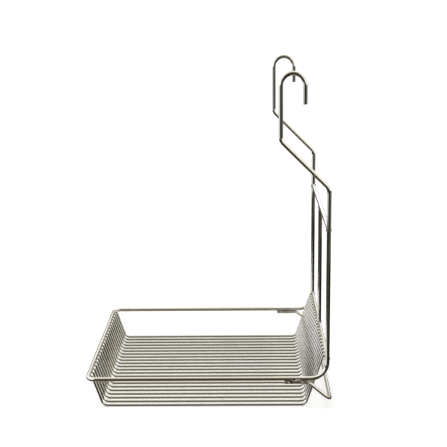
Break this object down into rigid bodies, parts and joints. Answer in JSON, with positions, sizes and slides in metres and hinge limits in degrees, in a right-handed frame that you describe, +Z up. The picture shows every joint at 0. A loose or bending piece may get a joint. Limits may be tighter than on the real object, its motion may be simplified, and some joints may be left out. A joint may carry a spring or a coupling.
{
  "type": "hanging wire shower caddy",
  "caption": "Open wire tray on a stepped wire frame with two rail hooks and a wall spacer under the tray.",
  "frame": {"origin": "middle of the footprint, at the underside of the floor wires", "axes": "+X from the tray towards the wall, +Y along the wall and the rail, +Z up"},
  "size_m": [0.2834, 0.255, 0.3864],
  "materials": {
    "frame_chrome": "bright chrome plate on 5 mm and 4 mm steel wire",
    "floor_wire_chrome": "bright chrome plate on 2.8 mm steel wire"
  },
  "bodies": {
    "root": {"frame_wire": "frame_chrome", "back_bar": "frame_chrome", "upper_bar": "frame_chrome", "centre_strut": "frame_chrome", "wall_spacer": "frame_chrome", "floor_wire_01": "floor_wire_chrome", "floor_wire_02": "floor_wire_chrome", "floor_wire_03": "floor_wire_chrome", "floor_wire_04": "floor_wire_chrome", "floor_wire_05": "floor_wire_chrome", "floor_wire_06": "floor_wire_chrome", "floor_wire_07": "floor_wire_chrome", "floor_wire_08": "floor_wire_chrome", "floor_wire_09": "floor_wire_chrome", "floor_wire_10": "floor_wire_chrome", "floor_wire_11": "floor_wire_chrome", "floor_wire_12": "floor_wire_chrome", "floor_wire_13": "floor_wire_chrome", "floor_wire_14": "floor_wire_chrome", "floor_wire_15": "floor_wire_chrome", "floor_wire_16": "floor_wire_chrome", "floor_wire_17": "floor_wire_chrome", "floor_wire_18": "floor_wire_chrome", "floor_wire_19": "floor_wire_chrome", "floor_wire_20": "floor_wire_chrome", "floor_wire_21": "floor_wire_chrome", "floor_wire_22": "floor_wire_chrome"}
  },
  "joints": []
}
